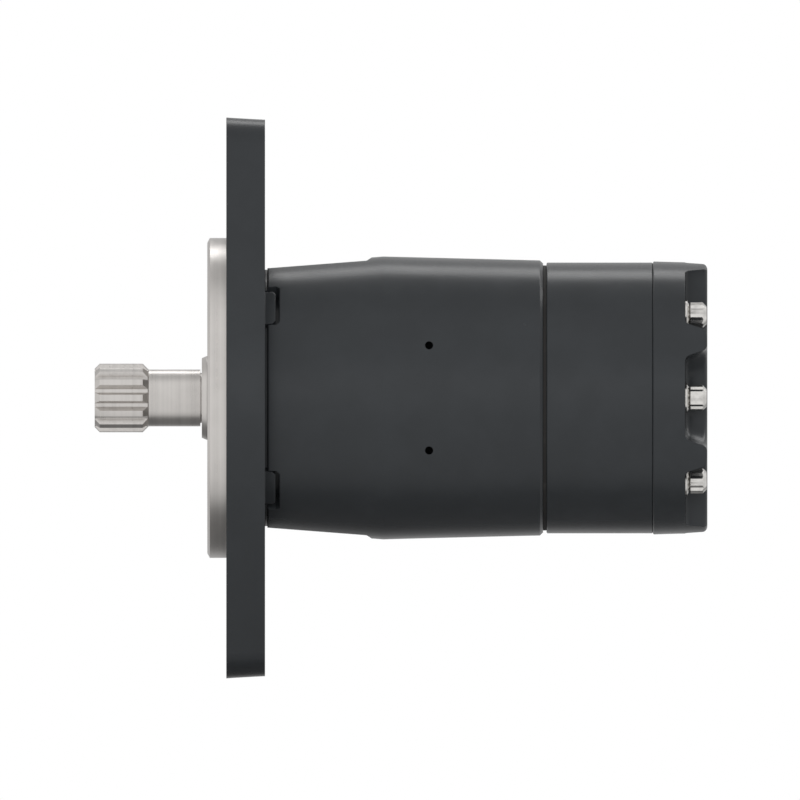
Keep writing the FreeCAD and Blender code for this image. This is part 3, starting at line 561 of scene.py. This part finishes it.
def seal_rubber():
    """Nitrile with a dull bloom and a trace of grease."""
    rubber = bpy.context.scene.motor_colours.rubber
    finish = Finish("seal_rubber")
    soft = finish.rounded(0.15 * MILLIMETRE)
    bloom = finish.noise(1.2 * MILLIMETRE, detail=4.0)
    grease = finish.noise(5 * MILLIMETRE).ramp(0.5, 0.75)
    return finish.surface({
        "Base Color": finish.mix(rubber, shade(rubber, 2.0), bloom.ramp(0.4, 0.8)),
        "Roughness": 0.62 + bloom * 0.15 - grease * 0.22,
        "Normal": finish.bump(bloom, 0.012 * MILLIMETRE, soft),
    })


def dress(nodes, material):
    """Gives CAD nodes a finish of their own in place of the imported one."""
    for node in nodes:
        data = frame["nodes"][node].data
        data.materials.clear()
        data.materials.append(material)


# Pieces

class MOTOR_OT_paint_castings(Operator):
    """Paint the housing and the flange satin black, and lay the port faces bare"""

    bl_idname = "motor.paint_castings"
    bl_label = "Paint castings"

    def execute(self, context):
        dress(["main_housing"], housing_paint())
        dress(["mounting_flange"], flange_paint())
        return {"FINISHED"}


class MOTOR_OT_paint_discs(Operator):
    """Paint the stacked discs behind the housing, all but the dull wear plate"""

    bl_idname = "motor.paint_discs"
    bl_label = "Paint discs"

    def execute(self, context):
        dress(["stator_ring", "end_cover"], disc_paint())
        dress(["wear_plate"], plate_phosphate())
        return {"FINISHED"}


class MOTOR_OT_turn_pilot_cover(Operator):
    """Leave the front cover as turned, with rings across its face"""

    bl_idname = "motor.turn_pilot_cover"
    bl_label = "Turn pilot cover"

    def execute(self, context):
        colours = context.scene.motor_colours
        steel = turned_metal(
            "pilot_steel",
            colours.steel,
            colours.steel_gloss,
            feed=0.55 * MILLIMETRE,
            depth=0.004 * MILLIMETRE,
            edge_radius=0.25 * MILLIMETRE,
        )
        dress(["front_cover"], steel)
        return {"FINISHED"}


class MOTOR_OT_finish_shaft(Operator):
    """Leave the output shaft as turned, with finer rings than the cover's"""

    bl_idname = "motor.finish_shaft"
    bl_label = "Finish output shaft"

    def execute(self, context):
        colours = context.scene.motor_colours
        steel = turned_metal(
            "shaft_steel",
            colours.steel,
            colours.steel_gloss,
            feed=0.4 * MILLIMETRE,
            depth=0.003 * MILLIMETRE,
            edge_radius=0.2 * MILLIMETRE,
        )
        dress(["output_shaft"], steel)
        return {"FINISHED"}


class MOTOR_OT_finish_screws(Operator):
    """Blacken the cover screws and plate the bolts and the drain plug"""

    bl_idname = "motor.finish_screws"
    bl_label = "Finish screws"

    def execute(self, context):
        dress(["cover_screws"], screw_black())
        dress(["end_cover_bolts", "drain_plug"], bolt_zinc())
        return {"FINISHED"}


class MOTOR_OT_finish_gear_set(Operator):
    """Grind the rotor, its rollers and the drive behind them"""

    bl_idname = "motor.finish_gear_set"
    bl_label = "Finish gear set"

    def execute(self, context):
        colours = context.scene.motor_colours
        tone = colours.ground_steel
        edge = 0.2 * MILLIMETRE
        rollers = sorted(node for node in frame["nodes"] if node.startswith("roller_"))
        dress(rollers, ground_metal("roller_steel", tone, gloss=0.16, edge_radius=edge))
        dress(["rotor"], ground_metal("rotor_steel", tone, gloss=0.22, edge_radius=edge))
        drive = ground_metal("link_steel", colours.steel, gloss=0.32, edge_radius=0.25 * MILLIMETRE)
        dress(["drive_link", "drive_spacer"], drive)
        return {"FINISHED"}


class MOTOR_OT_finish_bearings(Operator):
    """Finish the bearings' rings, needles, cages and washers"""

    bl_idname = "motor.finish_bearings"
    bl_label = "Finish bearings"

    def execute(self, context):
        colours = context.scene.motor_colours
        tone = colours.ground_steel
        edge = 0.12 * MILLIMETRE
        races = ["bearing_ring", "thrust_washer_front", "thrust_washer_rear"]
        needles = ["bearing_needles", "thrust_needles"]
        dress(races + needles, ground_metal("bearing_steel", tone, gloss=0.15, edge_radius=edge))
        cages = ["bearing_cage", "thrust_cage"]
        dress(cages, ground_metal("cage_steel", tone, gloss=0.34, edge_radius=edge))
        dress(["seal_backup_washer"], ground_metal("washer_steel", tone, gloss=0.28, edge_radius=edge))
        bronze = turned_metal(
            "ring_bronze",
            colours.bronze,
            gloss=0.3,
            feed=0.4 * MILLIMETRE,
            depth=0.003 * MILLIMETRE,
            edge_radius=0.15 * MILLIMETRE,
        )
        dress(["thrust_ring"], bronze)
        return {"FINISHED"}


class MOTOR_OT_mould_seals(Operator):
    """Give every seal its rubber"""

    bl_idname = "motor.mould_seals"
    bl_label = "Mould seals"

    def execute(self, context):
        seals = sorted(node for node in frame["nodes"] if node.endswith(("_seal", "_seal_ring")))
        dress(seals, seal_rubber())
        return {"FINISHED"}


class MOTOR_OT_cut_port_threads(Operator):
    """Cut a helical thread into each port"""

    bl_idname = "motor.cut_port_threads"
    bl_label = "Cut port threads"

    def execute(self, context):
        iron = turned_metal(
            "thread_iron",
            context.scene.motor_colours.cast_iron,
            gloss=0.3,
            feed=0.3 * MILLIMETRE,
            depth=0.002 * MILLIMETRE,
            edge_radius=0.1 * MILLIMETRE,
        )
        for port in PORTS:
            thread = port_thread(port, context.scene.motor_threads)
            thread.data.materials.append(iron)
            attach(thread, "motor_body")
        return {"FINISHED"}


def port_thread(port, sizes):
    """A ridge that winds down a port's bore and runs out at both ends."""
    mount = MOUNTS[port]
    middle = Vector(mount["pos_m"])
    radius = mount["dims"]["r_mm"] * MILLIMETRE
    run = mount["dims"]["length_mm"] * MILLIMETRE - 2 * sizes.pitch
    count = int(run / sizes.pitch * sizes.steps)
    foot = sizes.pitch * sizes.foot
    top = sizes.crest / 2
    mesh = bmesh.new()
    last = None
    for step in range(count + 1):
        angle = FULL_TURN * step / sizes.steps
        along = step / sizes.steps * sizes.pitch - run / 2
        turns_to_end = min(step, count - step) / sizes.steps
        crest = sizes.depth * min(1.0, turns_to_end / sizes.fade)
        ring = []
        for offset, height in ((-foot, -sizes.sunk), (-top, crest), (top, crest), (foot, -sizes.sunk)):
            out = radius - height
            place = Vector((out * math.cos(angle), along + offset, out * math.sin(angle)))
            ring.append(mesh.verts.new(middle + place))
        if last is None:
            mesh.faces.new(ring)
        else:
            join_rings(mesh, last, ring)
        last = ring
    mesh.faces.new(reversed(last))
    bmesh.ops.recalc_face_normals(mesh, faces=mesh.faces)
    thread = add_mesh(port + "_thread", mesh)
    thread.data.shade_smooth()
    thread.data.set_sharp_from_angle(angle=SHARP_ANGLE)
    return thread


def join_rings(mesh, last, ring):
    """Faces between a ring of points and the one before it."""
    for index in range(len(ring)):
        following = (index + 1) % len(ring)
        mesh.faces.new((last[index], last[following], ring[following], ring[index]))


def add_mesh(name, mesh):
    """Puts a finished mesh into the scene."""
    data = bpy.data.meshes.new(name)
    mesh.to_mesh(data)
    mesh.free()
    return add_object(name, data)


def add_object(name, data):
    made = bpy.data.objects.new(name, data)
    bpy.context.scene.collection.objects.link(made)
    return made


# Stage

class MOTOR_OT_set_stage(Operator):
    """Set the floor, the light and the camera"""

    bl_idname = "motor.set_stage"
    bl_label = "Set stage"

    def execute(self, context):
        stage = context.scene.motor_stage
        middle = (cad_low + cad_high) / 2
        floor = pale_floor(stage, middle)
        softbox("rear_softbox", middle, REAR_PLACE, REAR_SIZE, stage.rear_level, in_gloss=True)
        softbox("front_softbox", middle, FRONT_PLACE, FRONT_SIZE, stage.front_level, in_gloss=False)
        softbox("back_softbox", middle, BACK_PLACE, BACK_SIZE, stage.back_level, in_gloss=False)
        white_world(context.scene, stage)
        context.scene.camera = side_camera(stage, middle)
        context.scene.view_settings.view_transform = "Standard"
        return {"FINISHED"}


def pale_floor(stage, middle):
    """A wide square below the motor, which gloss doesn't show."""
    mesh = bmesh.new()
    bmesh.ops.create_grid(mesh, x_segments=1, y_segments=1, size=stage.floor_half_width)
    floor = add_mesh("floor", mesh)
    floor.location = (middle.x, middle.y, cad_low.z)
    floor.data.materials.append(floor_finish(stage))
    floor.visible_glossy = False
    return floor


def floor_finish(stage):
    """A dull pale floor that takes the motor's shadow and turns into white background further off."""
    finish = Finish("floor_finish")
    tone = finish.mix((stage.bounce,) * 3, stage.floor, finish.straight())
    finish.set({"Base Color": tone, "Roughness": 0.9})
    away = finish.distance(finish.x, finish.y).ramp(stage.shadow_reach, 2 * stage.shadow_reach)
    dull = Value(finish, finish.shader.outputs["BSDF"])
    white = finish.node("ShaderNodeEmission", values={"Color": WHITE, "Strength": 1.0})
    mixed = finish.node("ShaderNodeMixShader", values={0: away * finish.straight(), 1: dull, 2: white})
    finish.connect(finish.tree.nodes["Material Output"].inputs["Surface"], mixed)
    return finish.material


def softbox(name, middle, place, size, brightness, in_gloss):
    """A rectangular lamp square to the shaft axis; a brightness of 1 is that of the white background."""
    length_across, width = size
    data = bpy.data.lights.new(name, "AREA")
    data.shape = "RECTANGLE"
    data.size = length_across
    data.size_y = width
    data.energy = brightness * math.pi * length_across * width
    lamp = add_object(name, data)
    lamp.location = middle + Vector(place)
    to_axis = Vector((0.0, -lamp.location.y, -lamp.location.z))
    lamp.rotation_euler = to_axis.to_track_quat("-Z", "Y").to_euler()
    lamp.visible_camera = False
    lamp.visible_glossy = in_gloss


def white_world(scene, stage):
    """White to the eye, banded in gloss, and softer as light on dull surfaces."""
    scene.world = bpy.data.worlds.new("studio")
    nodes = Nodes(scene.world, "Background")
    across, backwards, upwards = nodes.split(nodes.node("ShaderNodeTexCoord", result="Generated"))
    around = upwards.angle(backwards * -1.0) * (1.0 / FULL_TURN) + 0.5
    stops = [(degrees / 360 + 0.5, brightness) for degrees, brightness in STUDIO_BANDS]
    bands = nodes.node("ShaderNodeValToRGB", {"stops": stops}, {0: around})
    gloss = nodes.mix(bands, (stage.beside,) * 3, (across * across).ramp(0.3, 0.8))
    light = nodes.mix((stage.fill,) * 3, gloss, nodes.mirrored())
    nodes.set({"Color": nodes.mix(light, WHITE, nodes.straight()), "Strength": 1.0})


def side_camera(stage, middle):
    """A parallel view along +Y, square to the shaft."""
    data = bpy.data.cameras.new("side_camera")
    data.type = "ORTHO"
    data.ortho_scale = stage.picture_scale * stage.picture_width
    camera = add_object("side_camera", data)
    camera.location = (middle.x + stage.aim_across, -CAMERA_DISTANCE, stage.aim_up)
    camera.rotation_euler = (math.radians(90), 0, 0)
    return camera


# Panel and registration

class MOTOR_PT_finishes(Panel):
    """Lists the steps that dress the motor, and their values"""

    bl_label = "Orbital motor"
    bl_space_type = "VIEW_3D"
    bl_region_type = "UI"
    bl_category = "Motor"

    def draw(self, context):
        for step in STEPS:
            self.layout.operator(step.bl_idname)
        for label in GROUPS:
            group = getattr(context.scene, label)
            for name in group.bl_rna.properties.keys():
                if name not in ("rna_type", "name"):
                    self.layout.prop(group, name)


GROUPS = {
    "motor_threads": PortThreadSizes,
    "motor_colours": FinishColours,
    "motor_stage": StageSettings,
}
STEPS = (
    MOTOR_OT_paint_castings,
    MOTOR_OT_paint_discs,
    MOTOR_OT_turn_pilot_cover,
    MOTOR_OT_finish_shaft,
    MOTOR_OT_finish_screws,
    MOTOR_OT_finish_gear_set,
    MOTOR_OT_finish_bearings,
    MOTOR_OT_mould_seals,
    MOTOR_OT_cut_port_threads,
    MOTOR_OT_set_stage,
)


def register():
    for label, group in GROUPS.items():
        bpy.utils.register_class(group)
        setattr(bpy.types.Scene, label, PointerProperty(type=group))
    for step in STEPS:
        bpy.utils.register_class(step)
    bpy.utils.register_class(MOTOR_PT_finishes)


def unregister():
    bpy.utils.unregister_class(MOTOR_PT_finishes)
    for step in reversed(STEPS):
        bpy.utils.unregister_class(step)
    for label, group in GROUPS.items():
        delattr(bpy.types.Scene, label)
        bpy.utils.unregister_class(group)


def main():
    register()
    for step in STEPS:
        name = step.bl_idname.removeprefix("motor.")
        getattr(bpy.ops.motor, name)()


if __name__ == "__main__":
    main()
